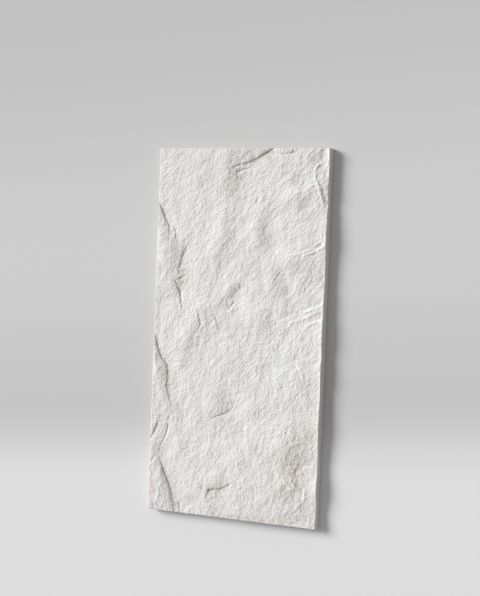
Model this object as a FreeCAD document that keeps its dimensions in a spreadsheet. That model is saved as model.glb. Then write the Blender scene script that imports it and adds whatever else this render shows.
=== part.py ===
"""A faux stone wall panel: one moulded board with a flat back and a split-rock face.

The panel lies on its back. X runs across it, Y along it and Z out of the back, and the origin is
the middle of the back. The face is a cast of split stone: crowns and hollows, lips and notches
along its right side, and clefts where thin flakes have come away. A cleft has a steep wall under
a worn shoulder on one side and a long ramp on the other, and it dies out at its ends.
"""
import FreeCAD, Part
import math
import os
import Sketcher
from FreeCAD import Vector

SIZES = (
    ("panel_width", 600, "edge to edge across the panel"),
    ("panel_length", 1200, "edge to edge along the panel"),
    ("face_height", 31, "back to the mean plane of the stone face"),
    ("back_bevel", 2, "bevel round the back, where the mould sheds the board"),
    ("crown_height", 4.8, "how far a crown stands above the mean plane"),
    ("rise_height", 2.6, "how far a gentle rise stands above the mean plane"),
    ("hollow_depth", 4.3, "how far a hollow sinks below the mean plane"),
    ("dip_depth", 2.4, "how far a gentle dip sinks below the mean plane"),
    ("lip_height", 5.0, "how far a lip stands up at the side of the face"),
    ("notch_depth", 4.5, "how far a notch sinks at the side of the face"),
    ("cleft_depth", 4.4, "depth of the deep clefts"),
    ("cleft_reach", 40, "width of the ramp beside a deep cleft"),
    ("crack_depth", 2.6, "depth of the shallow cracks"),
    ("crack_reach", 17, "width of the ramp beside a shallow crack"),
    ("seam_depth", 1.6, "depth of the faint seams"),
    ("seam_reach", 14, "width of the ramp beside a faint seam"),
    ("surface_pitch", 30, "spacing of the points that carry the face"),
)

# The swells of the face: kind, side and distance inward across the panel, end and distance inward
# along it, half width, half length, and the degrees that the long side leans from the length.
SWELLS = (
    ("crown", "middle", -55, "top", 40, 28, 75, 0),
    ("crown", "middle", -75, "middle", 300, 32, 60, 30),
    ("crown", "right", 120, "top", 160, 42, 28, 0),
    ("crown", "middle", 66, "top", 250, 24, 70, 10),
    ("crown", "right", 100, "middle", 255, 45, 30, 0),
    ("crown", "left", 32, "middle", 240, 32, 62, 0),
    ("crown", "middle", -110, "middle", 88, 38, 32, 0),
    ("crown", "left", 128, "middle", -5, 28, 75, 25),
    ("crown", "middle", 72, "middle", 47, 32, 32, 0),
    ("crown", "middle", -68, "middle", -215, 30, 55, 5),
    ("crown", "right", 118, "bottom", 255, 42, 75, 40),
    ("crown", "middle", -70, "bottom", 110, 45, 22, 0),
    ("crown", "left", 25, "bottom", 100, 28, 75, -25),
    ("rise", "middle", -62, "top", 200, 28, 80, 0),
    ("rise", "middle", 122, "middle", 190, 20, 60, 0),
    ("rise", "middle", -25, "middle", 150, 18, 45, 45),
    ("rise", "left", 30, "middle", -150, 30, 60, -15),
    ("rise", "middle", -20, "middle", -60, 30, 60, 0),
    ("rise", "right", 122, "bottom", 135, 30, 45, 0),
    ("rise", "middle", 20, "bottom", 200, 30, 40, 0),
    ("rise", "middle", 62, "middle", -230, 28, 40, 0),
    ("rise", "right", 50, "top", 120, 25, 60, -15),
    ("rise", "middle", -150, "top", 60, 45, 45, 0),
    ("rise", "left", 120, "top", 270, 40, 40, 0),
    ("rise", "middle", 110, "bottom", 150, 120, 170, 0),
    ("hollow", "middle", 20, "top", 100, 55, 50, 0),
    ("hollow", "middle", 75, "top", 40, 50, 38, 0),
    ("hollow", "left", 110, "middle", 190, 25, 85, 0),
    ("hollow", "left", 42, "top", 240, 24, 55, -25),
    ("hollow", "middle", 118, "middle", 285, 32, 45, 0),
    ("hollow", "right", 20, "top", 50, 28, 50, 0),
    ("hollow", "right", 110, "middle", 130, 24, 65, -25),
    ("hollow", "middle", -5, "middle", 92, 24, 42, 5),
    ("hollow", "middle", 118, "middle", -115, 30, 35, 0),
    ("hollow", "left", 75, "middle", -150, 24, 90, -15),
    ("hollow", "middle", -5, "middle", -250, 30, 35, 0),
    ("hollow", "middle", 25, "bottom", 290, 28, 35, 0),
    ("hollow", "left", 60, "bottom", 210, 30, 60, 0),
    ("hollow", "left", 105, "bottom", 90, 25, 60, -20),
    ("hollow", "right", 42, "bottom", 190, 28, 85, 0),
    ("dip", "middle", 110, "top", 255, 25, 40, 0),
    ("dip", "right", 60, "top", 190, 28, 50, 0),
    ("dip", "middle", -40, "middle", 215, 35, 40, 30),
    ("dip", "left", 15, "middle", 65, 28, 40, 0),
    ("dip", "middle", 150, "middle", -30, 40, 30, 0),
    ("dip", "middle", 40, "middle", -120, 30, 45, 0),
    ("dip", "middle", -80, "middle", -10, 35, 40, 35),
    ("dip", "left", 118, "middle", -280, 28, 50, 0),
    ("dip", "middle", -150, "bottom", 230, 35, 40, 0),
    ("dip", "middle", -40, "bottom", 60, 25, 18, 0),
    ("dip", "middle", 70, "bottom", 170, 30, 30, 0),
    ("dip", "right", 38, "bottom", 40, 30, 35, 0),
    ("lip", "right", -8, "top", 282, 32, 30, 0),
    ("lip", "right", -5, "middle", 8, 30, 48, 0),
    ("lip", "right", -8, "middle", -108, 26, 30, 0),
    ("lip", "right", -5, "middle", -270, 30, 34, 0),
    ("lip", "right", -5, "bottom", 128, 28, 30, 0),
    ("notch", "right", -8, "top", 180, 32, 34, 0),
    ("notch", "right", -8, "middle", 180, 30, 32, 0),
    ("notch", "right", -8, "bottom", 200, 26, 26, 0),
    ("notch", "right", -6, "bottom", 60, 28, 26, 0),
)

# Clefts, cracks and seams: name, kind, the side of travel that the ramp is on, and the line of the
# foot of the wall. The line is measured inward from one side and one end of the panel.
CLEFTS = (
    ("left_shoulder_cleft", "cleft", "left", "left", "top",
     ((-22, 150), (-2, 180), (12, 201), (24, 232), (38, 252), (43, 282), (41, 306))),
    ("left_shoulder_crack", "crack", "left", "left", "top",
     ((56, 258), (65, 273), (67, 289), (60, 305))),
    ("left_upper_cleft", "cleft", "left", "left", "top",
     ((118, 308), (102, 331), (92, 353), (87, 379), (80, 405))),
    ("left_hook_crack", "crack", "left", "left", "top",
     ((106, 416), (90, 426), (72, 435))),
    ("left_middle_cleft", "cleft", "left", "left", "top",
     ((70, 436), (78, 452), (87, 469), (92, 494), (101, 532))),
    ("left_waist_cleft", "cleft", "left", "left", "top",
     ((-10, 580), (3, 620), (16, 664), (30, 695), (50, 716), (54, 752), (53, 790), (60, 810), (72, 842))),
    ("left_spur_crack", "crack", "left", "left", "bottom",
     ((33, 318), (24, 290), (14, 264), (0, 238), (-14, 218))),
    ("left_knee_crack", "crack", "left", "left", "bottom",
     ((64, 314), (60, 272), (54, 250), (39, 221), (30, 192))),
    ("left_foot_cleft", "cleft", "left", "left", "bottom",
     ((30, 190), (42, 155), (55, 125), (72, 94), (79, 72), (87, 42), (95, 12), (104, -20))),
    ("left_foot_crack", "crack", "left", "left", "bottom",
     ((109, 46), (113, 27), (121, -6))),
    ("left_foot_seam", "seam", "right", "left", "bottom",
     ((32, 184), (16, 168), (-3, 148), (-20, 130))),
    ("top_cleft", "cleft", "right", "right", "top",
     ((352, 70), (308, 52), (280, 45), (250, 31), (222, 16), (195, 0), (165, -18), (140, -34))),
    ("top_crack", "crack", "right", "right", "top",
     ((318, 96), (320, 76), (301, 68), (281, 62), (258, 49))),
    ("top_seam", "seam", "right", "right", "top",
     ((202, 10), (170, 18), (140, 17), (115, 12))),
    ("bottom_cleft", "cleft", "right", "left", "bottom",
     ((212, 60), (222, 86), (241, 92), (260, 93), (278, 102), (306, 120))),
    ("bottom_prong_crack", "crack", "left", "left", "bottom",
     ((240, 91), (248, 78), (254, 60))),
    ("middle_left_crack", "crack", "left", "left", "top",
     ((155, 522), (163, 545), (169, 576), (161, 600))),
    ("middle_right_crack", "crack", "left", "left", "top",
     ((216, 534), (223, 551), (232, 575), (235, 594))),
    ("middle_seam", "seam", "left", "right", "top",
     ((290, 428), (295, 448), (306, 462), (316, 476))),
    ("right_middle_crack", "crack", "left", "right", "top",
     ((148, 386), (160, 402), (171, 418), (177, 432))),
    ("lump_foot_seam", "seam", "left", "right", "middle",
     ((297, -214), (305, -240), (326, -257), (358, -269), (402, -290))),
    ("right_shoulder_crack", "crack", "right", "right", "top",
     ((29, 54), (27, 92), (17, 128), (4, 160), (-10, 190))),
    ("right_ridge_crack", "crack", "left", "right", "top",
     ((98, 340), (74, 324), (48, 316), (16, 308), (4, 268))),
    ("right_waist_crack", "crack", "left", "right", "top",
     ((150, 548), (112, 530), (70, 512), (8, 498))),
)

# Shapes that the cuts share.
CLEAR_ABOVE = 16.0      # how far a flake stands clear of the face
BROW_RISE = 0.6         # how far a ramp and a shoulder pass out of the face at their ends
WALL_LEAN = 0.22        # how far a cleft's wall leans back for each unit of its height
SHOULDER_DROP = 0.27    # share of a cleft's depth that lies in the worn shoulder over its wall
SHOULDER_REACH = 0.4    # width of that shoulder as a share of the ramp's
DEEPER = (0, 0.2, 0.4, 0.7, 1.0, 1.4)  # how far a flake is sunk, in turn, until its cut is clean
WEAKEST = 0.12          # share of its depth and reach that a cleft keeps at its ends


def add_sizes(doc):
    """The sheet of driving dimensions, one named cell a row."""
    sheet = doc.addObject("Spreadsheet::Sheet", "Sizes")
    for row, (name, value, meaning) in enumerate(SIZES, start=1):
        sheet.set(f"A{row}", name)
        sheet.set(f"B{row}", str(value))
        sheet.set(f"C{row}", meaning)
        sheet.setAlias(f"B{row}", name)
    doc.recompute()
    return sheet


def across(sheet, side, inward):
    """Distance across the panel of a point measured inward from a side."""
    half = sheet.panel_width / 2
    return {"left": inward - half, "middle": inward, "right": half - inward}[side]


def along(sheet, end, inward):
    """Distance along the panel of a point measured inward from an end."""
    half = sheet.panel_length / 2
    return {"bottom": inward - half, "middle": inward, "top": half - inward}[end]


def face_height_at(sheet, x, y):
    """Height of the stone face over the back, before the flakes come away."""
    rises = {"crown": sheet.crown_height, "rise": sheet.rise_height, "lip": sheet.lip_height,
             "hollow": -sheet.hollow_depth, "dip": -sheet.dip_depth, "notch": -sheet.notch_depth}
    height = sheet.face_height
    for kind, side, inward_x, end, inward_y, half_width, half_length, lean in SWELLS:
        dx = x - across(sheet, side, inward_x)
        dy = y - along(sheet, end, inward_y)
        lean = math.radians(lean)
        u = (dx * math.cos(lean) - dy * math.sin(lean)) / half_width
        v = (dx * math.sin(lean) + dy * math.cos(lean)) / half_length
        height += rises[kind] * math.exp(-(u * u + v * v))
    return height


def add_blank(doc, sheet):
    """The board before its face is shaped: a pad of the outline, bevelled round the back."""
    body = doc.addObject("PartDesign::Body", "Blank")
    flat = [f for f in body.Origin.OriginFeatures if f.Role == "XY_Plane"][0]
    outline = body.newObject("Sketcher::SketchObject", "Outline")
    outline.AttachmentSupport = [(flat, "")]
    outline.MapMode = "FlatFace"
    half_x, half_y = sheet.panel_width / 2, sheet.panel_length / 2
    corners = [Vector(-half_x, -half_y, 0), Vector(half_x, -half_y, 0),
               Vector(half_x, half_y, 0), Vector(-half_x, half_y, 0)]
    for start, end in zip(corners, corners[1:] + corners[:1]):
        outline.addGeometry(Part.LineSegment(start, end))
    constrain = outline.addConstraint
    for edge in range(4):
        constrain(Sketcher.Constraint("Coincident", edge, 2, (edge + 1) % 4, 1))
    for edge in (0, 2):
        constrain(Sketcher.Constraint("Horizontal", edge))
        constrain(Sketcher.Constraint("Vertical", edge + 1))
    constrain(Sketcher.Constraint("Symmetric", 0, 1, 2, 1, -1, 1))
    width = constrain(Sketcher.Constraint("DistanceX", 0, 1, 0, 2, 2 * half_x))
    length = constrain(Sketcher.Constraint("DistanceY", 1, 1, 1, 2, 2 * half_y))
    outline.setExpression(f"Constraints[{width}]", "Sizes.panel_width")
    outline.setExpression(f"Constraints[{length}]", "Sizes.panel_length")
    board = body.newObject("PartDesign::Pad", "Board")
    board.Profile = outline
    board.setExpression("Length", "Sizes.face_height * 2")
    doc.recompute()
    back = [f"Edge{n}" for n, edge in enumerate(board.Shape.Edges, start=1)
            if edge.BoundBox.ZMax < sheet.back_bevel / 2]
    bevel = body.newObject("PartDesign::Chamfer", "BackBevel")
    bevel.Base = (board, back)
    bevel.setExpression("Size", "Sizes.back_bevel")
    body.Tip = bevel
    doc.recompute()
    return body


def add_waste(doc, sheet):
    """What is cut away above the stone face: the face, drawn up past the top of the blank."""
    pitch = sheet.surface_pitch
    columns = math.ceil(sheet.panel_width / 2 / pitch) + 1
    rows = math.ceil(sheet.panel_length / 2 / pitch) + 1
    points = [[Vector(x * pitch, y * pitch, face_height_at(sheet, x * pitch, y * pitch))
               for y in range(-rows, rows + 1)] for x in range(-columns, columns + 1)]
    surface = Part.BSplineSurface()
    surface.interpolate(points)
    face = doc.addObject("Part::Feature", "StoneFace")
    face.Shape = surface.toShape()
    waste = doc.addObject("Part::Extrusion", "Waste")
    waste.Base = face
    waste.DirMode = "Custom"
    waste.Dir = Vector(0, 0, 1)
    waste.Solid = True
    waste.setExpression("LengthFwd", "Sizes.face_height * 2")
    doc.recompute()
    return waste


def add_section(doc, name, corners):
    """One closed outline across a flake."""
    section = doc.addObject("Part::Polygon", name)
    section.Nodes = corners
    section.Close = True
    return section


def add_flake(doc, sheet, name, kind, ramp_side, side, end, line):
    """A flake that has come away: outlines across the cleft, ruled into one solid.

    Each outline runs from the foot of the wall up the ramp to the face, closes over the face, and
    comes down the shoulder to the top of the wall.
    """
    depth = getattr(sheet, f"{kind}_depth")
    reach = getattr(sheet, f"{kind}_reach")
    line = [Vector(across(sheet, side, dx), along(sheet, end, dy), 0) for dx, dy in line]
    hand = 1 if ramp_side == "left" else -1
    above = Vector(0, 0, CLEAR_ABOVE)
    sections = []
    for n, point in enumerate(line):
        travel = (line[min(n + 1, len(line) - 1)] - line[max(n - 1, 0)]).normalize()
        outward = Vector(-travel.y, travel.x, 0) * hand
        strength = WEAKEST + (1 - WEAKEST) * math.sin(math.pi * n / (len(line) - 1)) ** 0.6
        brow = point + outward * reach * strength
        brow.z = face_height_at(sheet, brow.x, brow.y) + BROW_RISE
        shoulder = point - outward * reach * strength * SHOULDER_REACH
        shoulder.z = face_height_at(sheet, shoulder.x, shoulder.y) + BROW_RISE
        foot = Vector(point.x, point.y, face_height_at(sheet, point.x, point.y) - depth * strength)
        wall = depth * strength * (1 - SHOULDER_DROP)
        wall_top = foot - outward * wall * WALL_LEAN + Vector(0, 0, wall)
        corners = [foot, brow, brow + above, shoulder + above, shoulder, wall_top]
        sections.append(add_section(doc, f"{name}_section{n + 1}", corners))
    flake = doc.addObject("Part::Loft", name)
    flake.Sections = sections
    flake.Solid = True
    flake.Ruled = True
    return flake


def take_away(board, flake):
    """The board's shape once one more flake has come away.

    Where a flake only grazes a fold of the face, the cut can miss it and leave it in the board.
    The flake is then sunk a little and cut again.
    """
    for sunk in DEEPER:
        left = board.cut(flake.translated(Vector(0, 0, -sunk)))
        if left.isValid() and len(left.Shells) == 1 and len(left.Faces) > len(board.Faces):
            return left
    raise RuntimeError("a flake could not be cut from the face")


def build():
    doc = FreeCAD.newDocument("FauxStonePanel")
    sheet = add_sizes(doc)
    blank = add_blank(doc, sheet)
    waste = add_waste(doc, sheet)
    split = doc.addObject("Part::Cut", "SplitFace")
    split.Base = blank
    split.Tool = waste
    doc.recompute()
    flakes = [add_flake(doc, sheet, *cleft) for cleft in CLEFTS]
    doc.recompute()
    shape = split.Shape
    for flake in flakes:
        shape = take_away(shape, flake.Shape)
    panel = doc.addObject("Part::Feature", "Panel")
    panel.Label = "stone_panel"
    panel.Shape = shape.Solids[0]
    doc.recompute()
    failed = [o.Name for o in doc.Objects if set(o.State) & {"Invalid", "Error"}]
    if failed:
        raise RuntimeError(f"these objects failed: {failed}")
    if len(shape.Solids) != 1:
        raise RuntimeError(f"the panel came apart into {len(shape.Solids)} solids")
    return doc, [panel]


def export(parts):
    os.makedirs("parts", exist_ok=True)
    for part in parts:
        if part.Shape.isNull() or not part.Shape.isValid():
            raise RuntimeError(f"{part.Label} has no valid shape")
        part.Shape.exportStep(f"parts/{part.Label}.step")


document, panel_parts = build()
export(panel_parts)
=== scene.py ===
import math

import bmesh
import bpy
from mathutils import Matrix, Vector, noise
from mathutils.bvhtree import BVHTree


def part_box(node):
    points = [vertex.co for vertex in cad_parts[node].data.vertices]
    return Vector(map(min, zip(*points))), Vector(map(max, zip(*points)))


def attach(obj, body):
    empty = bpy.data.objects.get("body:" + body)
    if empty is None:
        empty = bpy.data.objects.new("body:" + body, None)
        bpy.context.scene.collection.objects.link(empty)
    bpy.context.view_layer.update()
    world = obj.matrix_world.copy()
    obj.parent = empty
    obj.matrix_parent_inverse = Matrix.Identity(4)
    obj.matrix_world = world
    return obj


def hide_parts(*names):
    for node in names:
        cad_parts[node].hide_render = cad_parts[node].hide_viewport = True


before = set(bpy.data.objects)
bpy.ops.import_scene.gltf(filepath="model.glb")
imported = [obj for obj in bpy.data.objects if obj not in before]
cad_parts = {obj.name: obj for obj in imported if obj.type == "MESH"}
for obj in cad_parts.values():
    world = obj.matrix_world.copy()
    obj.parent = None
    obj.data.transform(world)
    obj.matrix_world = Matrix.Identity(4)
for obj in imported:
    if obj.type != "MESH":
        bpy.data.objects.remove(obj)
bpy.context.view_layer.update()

# The stone panel: one board of rigid foam, poured in one piece against a rubber cast of split
# stone, so that its face has the clefts, the lumps and the grain of the rock. The sides and the
# back are the plain skin that the mould and its lid leave. The face is sprayed a warm white.
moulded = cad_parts["stone_panel"]
low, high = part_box("stone_panel")
moulded_verts = [vert.co for vert in moulded.data.vertices]
moulded_faces = [tuple(face.vertices) for face in moulded.data.polygons]
cast = BVHTree.FromPolygons(moulded_verts, moulded_faces)
inside_edge = 0.0004


def moulded_height(x, y):
    """Height of the moulded face under a point of the panel."""
    x = min(max(x, low.x + inside_edge), high.x - inside_edge)
    y = min(max(y, low.y + inside_edge), high.y - inside_edge)
    return cast.ray_cast(Vector((x, y, high.z + 0.1)), Vector((0, 0, -1)))[0].z


# The rock's grain runs steeply up the panel, and leans over more towards its top. It has lumps, and
# scars where flakes have come away, which are bowls with sharp ridges between them. Each layer has
# a size and a steepness.
grain_lean, grain_bend, grain_stretch = 0.28, 0.205, 1.2
lump_layers = ((0.052, 0.013), (0.031, 0.024), (0.019, 0.050), (0.0115, 0.069), (0.0072, 0.079))
scar_layers = ((0.024, 0.046), (0.0135, 0.069))


def grain(x, y):
    """Height of the rock's grain at a point."""
    over = x - (grain_lean * y + grain_bend * y * y)
    height = 0.0
    for layer, (size, slope) in enumerate(lump_layers):
        height += slope * size * noise.noise((over / size, y / size / grain_stretch, 7.3 * layer))
    for layer, (size, slope) in enumerate(scar_layers):
        nearest = noise.voronoi((over / size, y / size / grain_stretch, 3.1 * layer))[0][0]
        height += slope * size * (nearest * nearest - 0.25)
    return height


# Chips and nicks in the face, and the shallow trough that follows its right edge: place, half
# width, half length, lean from the length, and depth.
chips = ((0.060, 0.435, 0.004, 0.009, 25, 0.0022), (-0.060, 0.350, 0.004, 0.007, 20, 0.0018),
         (0.075, 0.215, 0.003, 0.007, 30, 0.0018), (0.125, 0.070, 0.004, 0.006, 20, 0.0020),
         (0.138, 0.042, 0.003, 0.007, 10, 0.0016), (0.221, -0.036, 0.003, 0.007, -8, 0.0024),
         (0.125, -0.095, 0.003, 0.006, 20, 0.0016), (0.134, 0.592, 0.002, 0.007, -8, 0.0020),
         (0.175, 0.594, 0.002, 0.008, -4, 0.0022), (-0.186, 0.380, 0.003, 0.006, 10, 0.0014),
         (0.008, 0.155, 0.003, 0.008, -4, 0.0018), (-0.005, 0.143, 0.003, 0.006, 30, 0.0008),
         (-0.050, 0.108, 0.002, 0.009, 35, 0.0020), (-0.012, 0.115, 0.003, 0.004, 10, 0.0012),
         (-0.076, -0.514, 0.004, 0.007, 15, 0.0018), (-0.237, 0.334, 0.002, 0.009, -28, 0.0020),
         (-0.227, 0.163, 0.003, 0.005, 0, 0.0024), (0.268, 0.545, 0.008, 0.012, 20, 0.0016),
         (0.286, 0.455, 0.004, 0.020, -12, 0.0004), (0.262, 0.107, 0.004, 0.010, 62, 0.0022),
         (0.247, 0.563, 0.006, 0.005, 50, 0.0018), (0.188, 0.509, 0.008, 0.008, 0, 0.0014),
         (0.264, 0.370, 0.016, 0.080, -3, 0.0012), (0.266, 0.165, 0.017, 0.080, 2, 0.0022),
         (0.266, 0.000, 0.016, 0.080, 0, 0.0012), (0.266, -0.190, 0.017, 0.100, -2, 0.0014),
         (0.126, 0.050, 0.025, 0.042, 15, 0.0024), (0.068, 0.548, 0.012, 0.016, 20, 0.0014),
         (0.226, -0.285, 0.018, 0.030, 0, 0.0014), (0.186, 0.004, 0.016, 0.022, 10, 0.0014))


def swept(x, y, spots):
    """The sum of soft spots at a point: each is as strong as its last value in its middle."""
    total = 0.0
    for spot_x, spot_y, half_width, half_length, lean, strength in spots:
        dx, dy, turn = x - spot_x, y - spot_y, math.radians(lean)
        u = (dx * math.cos(turn) - dy * math.sin(turn)) / half_width
        v = (dx * math.sin(turn) + dy * math.cos(turn)) / half_length
        total += strength * math.exp(-u * u - v * v)
    return total


# Sharp ribs on the rock, and hair cracks in it: half width, height (negative for a crack), and the
# points that each runs through.
ribs = (
    (0.0028, 0.0024, ((0.274, 0.557), (0.254, 0.539), (0.252, 0.523), (0.254, 0.501),
                      (0.266, 0.481), (0.275, 0.456), (0.282, 0.428), (0.285, 0.421))),
    (0.0030, 0.0018, ((0.191, 0.462), (0.216, 0.464), (0.227, 0.473), (0.252, 0.484),
                      (0.263, 0.487))),
    (0.0030, 0.0022, ((0.193, 0.262), (0.227, 0.274), (0.243, 0.280), (0.263, 0.294),
                      (0.281, 0.307))),
    (0.0028, 0.0022, ((0.224, 0.262), (0.249, 0.269), (0.265, 0.276), (0.282, 0.285),
                      (0.296, 0.292))),
    (0.0030, 0.0020, ((0.283, 0.325), (0.285, 0.308), (0.292, 0.292))),
    (0.0042, 0.0017, ((0.238, 0.085), (0.260, 0.094), (0.282, 0.102), (0.297, 0.110))),
    (0.0040, 0.0012, ((0.251, 0.073), (0.271, 0.083), (0.296, 0.094))),
    (0.0028, 0.0018, ((0.188, 0.045), (0.199, 0.052), (0.215, 0.056), (0.232, 0.064),
                      (0.249, 0.070))),
    (0.0038, 0.0016, ((0.224, 0.003), (0.227, 0.017), (0.238, 0.031), (0.254, 0.045),
                      (0.271, 0.053), (0.290, 0.059))),
    (0.0035, 0.0020, ((0.215, -0.085), (0.232, -0.108), (0.238, -0.130))),
    (0.0030, 0.0018, ((0.254, -0.412), (0.271, -0.405), (0.284, -0.407))),
    (0.0030, 0.0020, ((0.257, -0.479), (0.259, -0.496), (0.252, -0.518), (0.238, -0.532),
                      (0.227, -0.551))),
    (0.0030, 0.0018, ((0.210, -0.437), (0.216, -0.462), (0.232, -0.479))),
    (0.0030, 0.0018, ((0.182, -0.451), (0.198, -0.466), (0.210, -0.482))),
    (0.0100, 0.0018, ((0.299, 0.600), (0.298, 0.520))),
    (0.0070, 0.0012, ((0.299, 0.420), (0.299, 0.300))),
    (0.0100, 0.0016, ((0.299, 0.210), (0.298, 0.120))),
    (0.0090, 0.0014, ((0.298, 0.060), (0.299, -0.220))),
    (0.0080, 0.0010, ((0.299, -0.240), (0.299, -0.420))),
    (0.0016, -0.0022, ((0.102, 0.588), (0.124, 0.584), (0.152, 0.582), (0.179, 0.587))),
    (0.0018, -0.0018, ((0.274, 0.596), (0.272, 0.584), (0.276, 0.575))),
    (0.0018, -0.0020, ((0.232, 0.268), (0.252, 0.262), (0.262, 0.266))),
    (0.0030, -0.0026, ((-0.037, 0.106), (-0.028, 0.080), (-0.014, 0.101))),
    (0.0022, -0.0018, ((0.135, 0.602), (0.134, 0.586))),
    (0.0022, -0.0020, ((0.176, 0.602), (0.175, 0.588))))


def gap(x, y, start, end):
    """How far a point is from the line between two others."""
    run, rise = end[0] - start[0], end[1] - start[1]
    share = ((x - start[0]) * run + (y - start[1]) * rise) / (run * run + rise * rise)
    share = min(max(share, 0.0), 1.0)
    return math.hypot(x - start[0] - share * run, y - start[1] - share * rise)


def ribbed(x, y):
    """Height of the ribs at a point, less the depth of the hair cracks."""
    total = 0.0
    for half_width, height, points in ribs:
        reach = 3 * half_width
        if (min(p[0] for p in points) - reach < x < max(p[0] for p in points) + reach
                and min(p[1] for p in points) - reach < y < max(p[1] for p in points) + reach):
            near = min(gap(x, y, start, end) for start, end in zip(points, points[1:])) / half_width
            total += height * math.exp(-near * near)
    return total


# Where the rock was rougher, its grain stands out more: place, half width, half length, lean from
# the length, and the share that is added.
rough = ((0.225, -0.450, 0.070, 0.130, 0, 0.8), (0.265, 0.520, 0.040, 0.090, 0, 0.5),
         (0.020, 0.480, 0.080, 0.100, 0, 0.4), (0.240, -0.050, 0.050, 0.120, 0, 0.4))

# Where the mould has filled up, the clefts are partly lost: place, half width, half length, lean
# from the length, and the share that is lost.
filled = ((-0.262, 0.325, 0.014, 0.042, -8, 0.85), (-0.196, 0.266, 0.014, 0.016, 25, 0.55),
          (-0.214, 0.205, 0.012, 0.016, 10, 0.35), (-0.206, 0.232, 0.010, 0.006, 0, 0.45),
          (-0.212, -0.565, 0.016, 0.040, -15, 0.75), (-0.252, -0.362, 0.014, 0.025, 35, 0.5),
          (0.133, 0.192, 0.012, 0.020, 30, 0.45), (-0.208, 0.238, 0.012, 0.045, 18, 0.45),
          (0.281, 0.490, 0.014, 0.050, -10, 0.7), (-0.222, 0.120, 0.004, 0.030, -10, 0.2),
          (-0.004, 0.132, 0.030, 0.020, 30, 0.7), (-0.073, 0.033, 0.010, 0.024, -17, 0.45),
          (-0.243, -0.170, 0.013, 0.055, 0, 0.6), (-0.235, 0.275, 0.018, 0.035, -20, 0.6),
          (-0.205, 0.160, 0.008, 0.030, -8, 0.35), (0.288, 0.440, 0.012, 0.035, -12, 0.6))
fill_reach, fill_points, least_share = 0.008, 8, 0.03


def filled_height(x, y):
    """Height of the moulded face, with its clefts filled where the mould had filled up."""
    height = moulded_height(x, y)
    share = min(swept(x, y, filled), 1.0)
    if share < least_share:
        return height
    ring = [moulded_height(x + fill_reach * math.cos(turn), y + fill_reach * math.sin(turn))
            for turn in (math.tau * step / fill_points for step in range(fill_points))]
    return height + share * max(sum(ring) / len(ring) - height, 0.0)


# The highest lumps were rubbed flat, so that the board is no thicker than its mould.
thickest, rubbed = high.z + 0.0004, 0.0006


def rub(height):
    """Rounds a height off as it nears the thickest that the board may be."""
    return thickest - rubbed * math.log1p(math.exp((thickest - height) / rubbed))


# The face starts as a flat grid of the board's size, with its squares just under 3 mm wide.
columns, rows = 212, 424
board = bmesh.new()
bmesh.ops.create_grid(board, x_segments=columns, y_segments=rows, size=0.5)
bmesh.ops.scale(board, verts=board.verts, vec=(high.x - low.x, high.y - low.y, 1))

# The walls of the clefts, seen from above: points near one move onto it, so that it stays sharp.
upright, steep = 0.02, 0.7
walls = BVHTree.FromPolygons(
    [Vector((vert.x, vert.y, 0)) for vert in moulded_verts],
    [face for face, polygon in zip(moulded_faces, moulded.data.polygons)
     if upright < polygon.normal.z < steep and polygon.center.z > high.z / 2])
snap = 0.0021
rim = [edge for edge in board.edges if edge.is_boundary]
rim_verts = {vert for edge in rim for vert in edge.verts}
for vert in board.verts:
    if vert not in rim_verts:
        on_wall = walls.find_nearest(vert.co, snap)[0]
        if on_wall:
            vert.co.xy = on_wall.xy
for vert in board.verts:
    x, y = vert.co.xy
    relief = grain(x, y) * (1 + swept(x, y, rough)) + ribbed(x, y) - swept(x, y, chips)
    vert.co.z = rub(filled_height(x, y) + relief)

# The arris is worn: the face draws in by a millimetre or so, and drops a little, where it meets a
# side.
worn_drop, worn_in, wear_size, at_side = 0.0004, 0.0010, 0.03, 0.0001
for vert in rim_verts:
    wear = 0.6 + 0.8 * abs(noise.noise((vert.co.x / wear_size, vert.co.y / wear_size, 40)))
    vert.co.x -= math.copysign(worn_in * wear, vert.co.x) * (abs(vert.co.x) > high.x - at_side)
    vert.co.y -= math.copysign(worn_in * wear, vert.co.y) * (abs(vert.co.y) > high.y - at_side)
    vert.co.z -= worn_drop * wear

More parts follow.
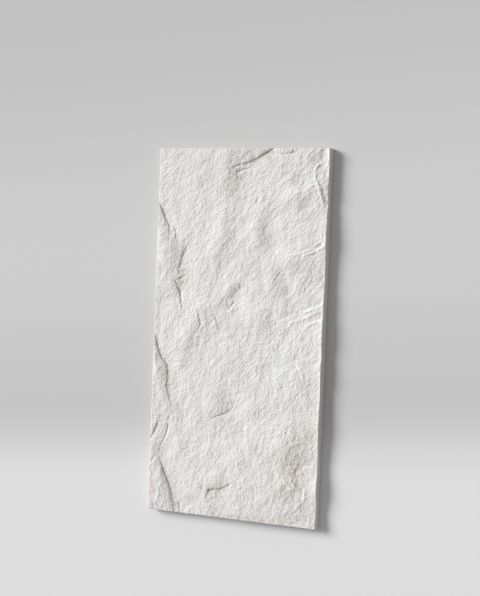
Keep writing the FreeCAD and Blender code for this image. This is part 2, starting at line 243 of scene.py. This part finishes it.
# Brown patches: dust over parts of the face, and painted shade where they lie along the clefts and
# in the darker hollows. Each has place, half width, half length, lean from the length, and
# strength.
dust_and_shade_spots = ((0.020, 0.585, 0.045, 0.030, -60, 1.2), (0.080, 0.592, 0.030, 0.014, -60, 1.4),
          (-0.035, 0.530, 0.025, 0.045, -20, 0.9), (-0.042, 0.465, 0.018, 0.040, 0, 1.0),
          (0.140, 0.584, 0.040, 0.006, 90, 1.2), (0.244, 0.570, 0.026, 0.020, 0, 1.2),
          (0.274, 0.588, 0.006, 0.014, 0, 1.4), (0.188, 0.508, 0.014, 0.022, 0, 0.9),
          (0.092, 0.567, 0.008, 0.012, 0, 0.8), (0.270, 0.543, 0.010, 0.014, 20, 0.8),
          (0.284, 0.460, 0.010, 0.030, -12, 1.0), (0.212, 0.418, 0.014, 0.024, 0, 0.8),
          (0.239, 0.455, 0.012, 0.018, 0, 0.6), (0.236, 0.293, 0.018, 0.020, 0, 0.9),
          (-0.290, 0.394, 0.010, 0.022, 0, 1.3), (-0.270, 0.360, 0.010, 0.040, -20, 0.9),
          (-0.240, 0.290, 0.014, 0.018, -20, 1.1), (-0.225, 0.250, 0.025, 0.050, 20, 0.7),
          (-0.206, 0.150, 0.008, 0.020, 0, 1.4), (-0.228, 0.128, 0.014, 0.040, 0, 0.7),
          (0.193, 0.228, 0.016, 0.020, 0, 0.9), (0.228, 0.170, 0.014, 0.034, 20, 0.9),
          (0.284, 0.195, 0.012, 0.024, 0, 0.8), (0.142, 0.178, 0.014, 0.022, 0, 1.1),
          (-0.010, 0.140, 0.014, 0.030, 25, 1.0), (-0.060, 0.030, 0.014, 0.020, 0, 0.7),
          (-0.018, -0.010, 0.008, 0.012, 0, 0.9), (-0.290, -0.010, 0.010, 0.050, 0, 1.1),
          (-0.285, -0.070, 0.014, 0.040, -25, 1.1), (-0.245, -0.170, 0.016, 0.060, 0, 1.1),
          (-0.165, -0.045, 0.012, 0.030, 0, 0.7), (0.245, -0.150, 0.018, 0.050, -15, 0.9),
          (-0.210, -0.265, 0.025, 0.035, 0, 0.4), (0.215, -0.395, 0.050, 0.060, 10, 1.3),
          (0.172, -0.502, 0.024, 0.024, 0, 1.2), (0.225, -0.480, 0.030, 0.060, -10, 0.8),
          (0.110, -0.380, 0.040, 0.060, 0, 0.3), (0.068, -0.500, 0.014, 0.020, 0, 0.8),
          (-0.292, -0.400, 0.012, 0.035, 0, 1.1), (-0.240, -0.490, 0.010, 0.040, -22, 1.6),
          (-0.290, -0.510, 0.012, 0.024, 0, 0.8), (-0.210, -0.565, 0.024, 0.035, 0, 1.4),
          (-0.045, -0.510, 0.040, 0.028, -60, 1.0), (-0.077, -0.540, 0.014, 0.030, 0, 0.9),
          (-0.155, -0.545, 0.024, 0.014, 0, 0.8), (-0.275, -0.588, 0.030, 0.014, 0, 1.2),
          (0.080, -0.592, 0.120, 0.012, 0, 1.3), (-0.060, -0.580, 0.050, 0.020, 0, 0.6),
          (-0.025, -0.235, 0.020, 0.030, -40, 0.5), (-0.275, -0.310, 0.020, 0.060, 15, 0.5),
          (0.290, -0.150, 0.012, 0.300, 0, 0.7), (0.290, 0.430, 0.012, 0.170, 0, 0.7),
          (0.250, -0.290, 0.040, 0.050, 0, 0.9), (0.235, -0.572, 0.060, 0.030, 0, 0.9),
          (-0.211, 0.175, 0.010, 0.060, -5, 1.0), (-0.243, -0.150, 0.012, 0.050, 0, 0.7),
          (-0.245, -0.465, 0.010, 0.024, 0, 1.2), (-0.288, 0.195, 0.010, 0.022, 0, 1.0),
          (-0.288, -0.540, 0.012, 0.030, 0, 1.0), (-0.288, -0.234, 0.010, 0.022, 0, 0.7),
          (0.093, 0.588, 0.022, 0.016, -60, 1.0), (-0.010, 0.480, 0.050, 0.070, 0, 0.15),
          (0.130, 0.525, 0.050, 0.030, 0, 0.3), (0.115, -0.555, 0.050, 0.030, 0, 0.6),
          (0.130, 0.045, 0.050, 0.050, 15, 0.35), (0.171, 0.390, 0.020, 0.022, 0, 0.4),
          (0.085, 0.545, 0.040, 0.050, 0, 0.3), (0.215, 0.530, 0.028, 0.038, 0, 0.5),
          (0.247, 0.195, 0.020, 0.024, 0, 0.6), (0.247, 0.117, 0.020, 0.022, 0, 0.6),
          (0.209, -0.507, 0.022, 0.022, 0, 0.5), (-0.287, -0.525, 0.014, 0.032, 0, 0.4),
          (0.057, -0.429, 0.020, 0.022, 0, 0.6), (-0.288, 0.058, 0.014, 0.038, 0, 0.6),
          (0.133, 0.312, 0.020, 0.022, 0, 0.35), (-0.095, 0.585, 0.020, 0.020, 0, 0.6))
dust_and_shade = board.verts.layers.float.new("dust_and_shade")
for vert in board.verts:
    vert[dust_and_shade] = swept(vert.co.x, vert.co.y, dust_and_shade_spots)

# The crests of the ribs get a painted highlight: lighter paint that grows with how high they stand,
# which is kept in millimetres.
millimetres = 1000
crest_highlight = board.verts.layers.float.new("crest_highlight")
for vert in board.verts:
    vert[crest_highlight] = max(ribbed(vert.co.x, vert.co.y), 0) * millimetres

# A smoothed copy of the face tells how deep each point sits among its neighbours.
smoothed = board.copy()
for _ in range(14):
    bmesh.ops.smooth_vert(smoothed, verts=smoothed.verts, factor=0.5, use_axis_z=True)
crevice = board.verts.layers.float.new("crevice")
for vert, level in zip(board.verts, smoothed.verts):
    vert[crevice] = (level.co.z - vert.co.z) * millimetres
smoothed.free()

# The sides go down from the arris in steps, and round the bevel into the back.
bevel, near_side, least_step = 0.002, 0.003, 0.001
for level, inset in ((0.028, 0.0), (0.016, 0.0), (bevel, 0.0), (0.0, bevel)):
    skirt = bmesh.ops.extrude_edge_only(board, edges=rim)["geom"]
    for vert in (item for item in skirt if isinstance(item, bmesh.types.BMVert)):
        if abs(vert.co.x) > high.x - near_side:
            vert.co.x = math.copysign(high.x - inset, vert.co.x)
        if abs(vert.co.y) > high.y - near_side:
            vert.co.y = math.copysign(high.y - inset, vert.co.y)
        vert.co.z = min(level, vert.co.z - least_step)
        vert[crevice] = 0
    for face in (item for item in skirt if isinstance(item, bmesh.types.BMFace)):
        face.material_index = 1
    rim = [item for item in skirt if isinstance(item, bmesh.types.BMEdge)]
for face in bmesh.ops.contextual_create(board, geom=rim)["faces"]:
    face.material_index = 2
bmesh.ops.recalc_face_normals(board, faces=board.faces)
for face in board.faces:
    face.smooth = face.material_index == 0
panel_mesh = bpy.data.meshes.new("stone_panel_cast")
board.to_mesh(panel_mesh)
board.free()
panel = bpy.data.objects.new("stone_panel_cast", panel_mesh)
bpy.context.scene.collection.objects.link(panel)


class Wire:
    """A shader socket that takes part in sums: each operator adds its Math node."""

    def __init__(self, paint, socket):
        self.paint = paint
        self.socket = socket

    def math(self, operation, *values):
        return self.paint.node("ShaderNodeMath", {"operation": operation}, dict(enumerate(values)))

    def __add__(self, other):
        return self.math("ADD", self, other)

    def __sub__(self, other):
        return self.math("SUBTRACT", self, other)

    def __rsub__(self, other):
        return self.math("SUBTRACT", other, self)

    def __mul__(self, other):
        return self.math("MULTIPLY", self, other)

    __radd__ = __add__
    __rmul__ = __mul__

    def between(self, start, end):
        """0 below start, 1 above end, and smooth from one to the other."""
        return self.paint.node("ShaderNodeMapRange", {"interpolation_type": "SMOOTHSTEP"},
                               {"Value": self, "From Min": start, "From Max": end})


class Paint:
    """A material and its nodes."""

    def __init__(self, name):
        self.material = bpy.data.materials.new(name)
        self.material.use_nodes = True
        self.tree = self.material.node_tree
        self.tree.nodes.clear()

    def node(self, kind, settings={}, sockets={}, output=0):
        """Adds a node, sets it up and feeds its sockets. Gives one of its outputs."""
        made = self.tree.nodes.new(kind)
        for name, value in settings.items():
            setattr(made, name, value)
        for name, value in sockets.items():
            if isinstance(value, Wire):
                self.tree.links.new(value.socket, made.inputs[name])
            else:
                made.inputs[name].default_value = value
        return Wire(self, made.outputs[output]) if len(made.outputs) else None

    def place(self):
        """Where a point is on the object."""
        return self.node("ShaderNodeTexCoord", output="Object")

    def noise(self, place, scale, detail, roughness=0.5):
        """Soft lumps of a size of 1 / scale, with smaller ones on them, from 0 to 1."""
        return self.node("ShaderNodeTexNoise", {}, {
            "Vector": place, "Scale": scale, "Detail": detail, "Roughness": roughness})

    def scars(self, place, scale):
        """Bowls of a size of 1 / scale that meet in sharp ridges."""
        nearest = self.node("ShaderNodeTexVoronoi", {}, {"Vector": place, "Scale": scale})
        return nearest * nearest

    def mix(self, factor, first, second):
        """A colour between two colours."""
        return self.node("ShaderNodeMix", {"data_type": "RGBA"},
                         {"Factor": factor, 6: first, 7: second}, output=2)

    def finish(self, sockets):
        """The surface itself."""
        surface = self.node("ShaderNodeBsdfPrincipled", {}, sockets)
        self.node("ShaderNodeOutputMaterial", {}, {"Surface": surface})
        return self.material


# The spray coat: a warm white that is mottled, with a painted highlight on the rib crests, brown
# patches of dust and painted shade over it, painted shade in the crevices, and the finest pits and
# scars of the stone as bump.
stone = Paint("warm_white_stone")
place = stone.place()
x, y, z = (stone.node("ShaderNodeSeparateXYZ", {}, {"Vector": place}, output=axis)
           for axis in range(3))
along_grain = stone.node("ShaderNodeCombineXYZ", {}, {
    "X": x - (y * grain_lean + y * y * grain_bend), "Y": y * (1 / grain_stretch), "Z": z})
scar_scale, scar_depth, pit_scale, least_pit, more_pit = 170, 0.0011, 190, 0.0012, 0.0020
mottle = stone.noise(place, 9, 4, 0.6)
depth = stone.node("ShaderNodeAttribute", {"attribute_name": "crevice"}, output="Fac")
brown = stone.node("ShaderNodeAttribute", {"attribute_name": "dust_and_shade"}, output="Fac")
highlight_on_crests = stone.node("ShaderNodeAttribute", {"attribute_name": "crest_highlight"}, output="Fac")
patchy = stone.noise(place, 110, 4, 0.65)
white = stone.mix(mottle.between(0.35, 0.65), (0.718, 0.710, 0.691, 1), (0.756, 0.751, 0.735, 1))
# Lighter paint on the rib crests: a painted highlight.
highlighted_white = stone.mix(highlight_on_crests.between(0.2, 1.6) * 0.8, white, (0.90, 0.89, 0.87, 1))
# Brown patches: dust on the open face, painted shade along the clefts and in the darker hollows.
dusted_and_shaded = stone.mix(brown * patchy.between(0.28, 0.7) * 0.62, highlighted_white, (0.53, 0.455, 0.415, 1))
# Darker, browner paint the deeper a point sits in a crevice: painted shade.
crevice_shaded = stone.mix(depth.between(0.35, 2.2) * 0.25, dusted_and_shaded, (0.42, 0.33, 0.27, 1))
pit_depth = stone.noise(place, 22, 2).between(0.35, 0.65) * more_pit + least_pit
small_scars = stone.scars(along_grain, scar_scale) * scar_depth
small_relief = small_scars + stone.noise(place, pit_scale, 1, 0.7) * pit_depth
pitted = stone.node("ShaderNodeBump", {}, {"Strength": 1, "Distance": 1, "Height": small_relief})
panel_mesh.materials.append(stone.finish({"Base Color": crevice_shaded, "Roughness": 0.9, "Normal": pitted,
                                          "Specular IOR Level": 0.2}))

# The bare foam of the sides is a little pink, and that of the back is yellower.
side = Paint("foam_side")
side_foam = side.mix(side.noise(side.place(), 30, 4),
                     (0.58, 0.53, 0.505, 1), (0.70, 0.645, 0.62, 1))
panel_mesh.materials.append(side.finish({"Base Color": side_foam, "Roughness": 0.85}))
back = Paint("foam_back")
back_foam = back.mix(back.noise(back.place(), 40, 5),
                     (0.60, 0.57, 0.51, 1), (0.70, 0.67, 0.60, 1))
panel_mesh.materials.append(back.finish({"Base Color": back_foam, "Roughness": 0.9}))

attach(panel, "root")
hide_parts("stone_panel")

# The studio floor: a pale seamless sheet under the panel. Its colour carries painted shade: palest
# in front, greyer along a soft level line where a floor would meet its backdrop, and darkest at the
# far end.
floor_size, floor_gap, line_slant = 60, 0.0005, 0.09
floor_mesh = bpy.data.meshes.new("studio_floor")
sheet = bmesh.new()
bmesh.ops.create_grid(sheet, x_segments=1, y_segments=1, size=floor_size)
bmesh.ops.translate(sheet, verts=sheet.verts, vec=(0, 0, -floor_gap))
sheet.to_mesh(floor_mesh)
sheet.free()
floor = bpy.data.objects.new("studio_floor", floor_mesh)
bpy.context.scene.collection.objects.link(floor)
backdrop = Paint("pale_floor")
x, y = (backdrop.node("ShaderNodeSeparateXYZ", {}, {"Vector": backdrop.place()}, output=axis)
        for axis in range(2))
up_floor = y - x * line_slant
# Painted shade: the floor greys and darkens away from the front.
far = backdrop.mix(up_floor.between(-0.26, 0.25), (0.548, 0.548, 0.556, 1), (0.60, 0.60, 0.60, 1))
far_painted_shade = backdrop.mix(up_floor.between(0.3, 1.15), far, (0.52, 0.52, 0.52, 1))
floor_with_painted_falloff = backdrop.mix(up_floor.between(-0.48, -0.225), (0.715, 0.715, 0.72, 1), far_painted_shade)
floor_mesh.materials.append(backdrop.finish({"Base Color": floor_with_painted_falloff, "Roughness": 0.9}))

# One broad lamp stands low on the upper left, and the pale room fills in the rest.
key_share = 0.62
lamp_height = math.radians(33)
lamp_bearing = math.radians(157)
lamp = bpy.data.lights.new("key", "SUN")
lamp.angle = math.radians(28)
lamp.energy = key_share * math.pi / math.sin(lamp_height)
key = bpy.data.objects.new("key", lamp)
towards = Vector((math.cos(lamp_bearing) * math.cos(lamp_height),
                  math.sin(lamp_bearing) * math.cos(lamp_height), math.sin(lamp_height)))
key.rotation_euler = towards.to_track_quat("Z", "Y").to_euler()
bpy.context.scene.collection.objects.link(key)

room = bpy.data.worlds.new("room")
room.use_nodes = True
room.node_tree.nodes["Background"].inputs["Color"].default_value = (1, 1, 1, 1)
room.node_tree.nodes["Background"].inputs["Strength"].default_value = 1 - key_share
bpy.context.scene.world = room

# The camera stands where the photograph was taken from, and looks down on the panel.
photo_width, photo_height, focal_length = 480, 596, 1344.7
face_level = 0.031
lens = bpy.data.cameras.new("camera")
lens.sensor_width = 36
lens.lens = focal_length / max(photo_width, photo_height) * lens.sensor_width
camera = bpy.data.objects.new("camera", lens)
view_right, view_up = (0.907, 0.038, -0.420), (-0.047, 0.999, -0.011)
view_back = (0.419, 0.029, 0.908)
camera.matrix_world = (Matrix.Translation((1.8248, 0.2447, 3.9332 + face_level))
                       @ Matrix((view_right, view_up, view_back)).transposed().to_4x4())
bpy.context.scene.collection.objects.link(camera)
bpy.context.scene.camera = camera
bpy.context.scene.view_settings.view_transform = "Standard"
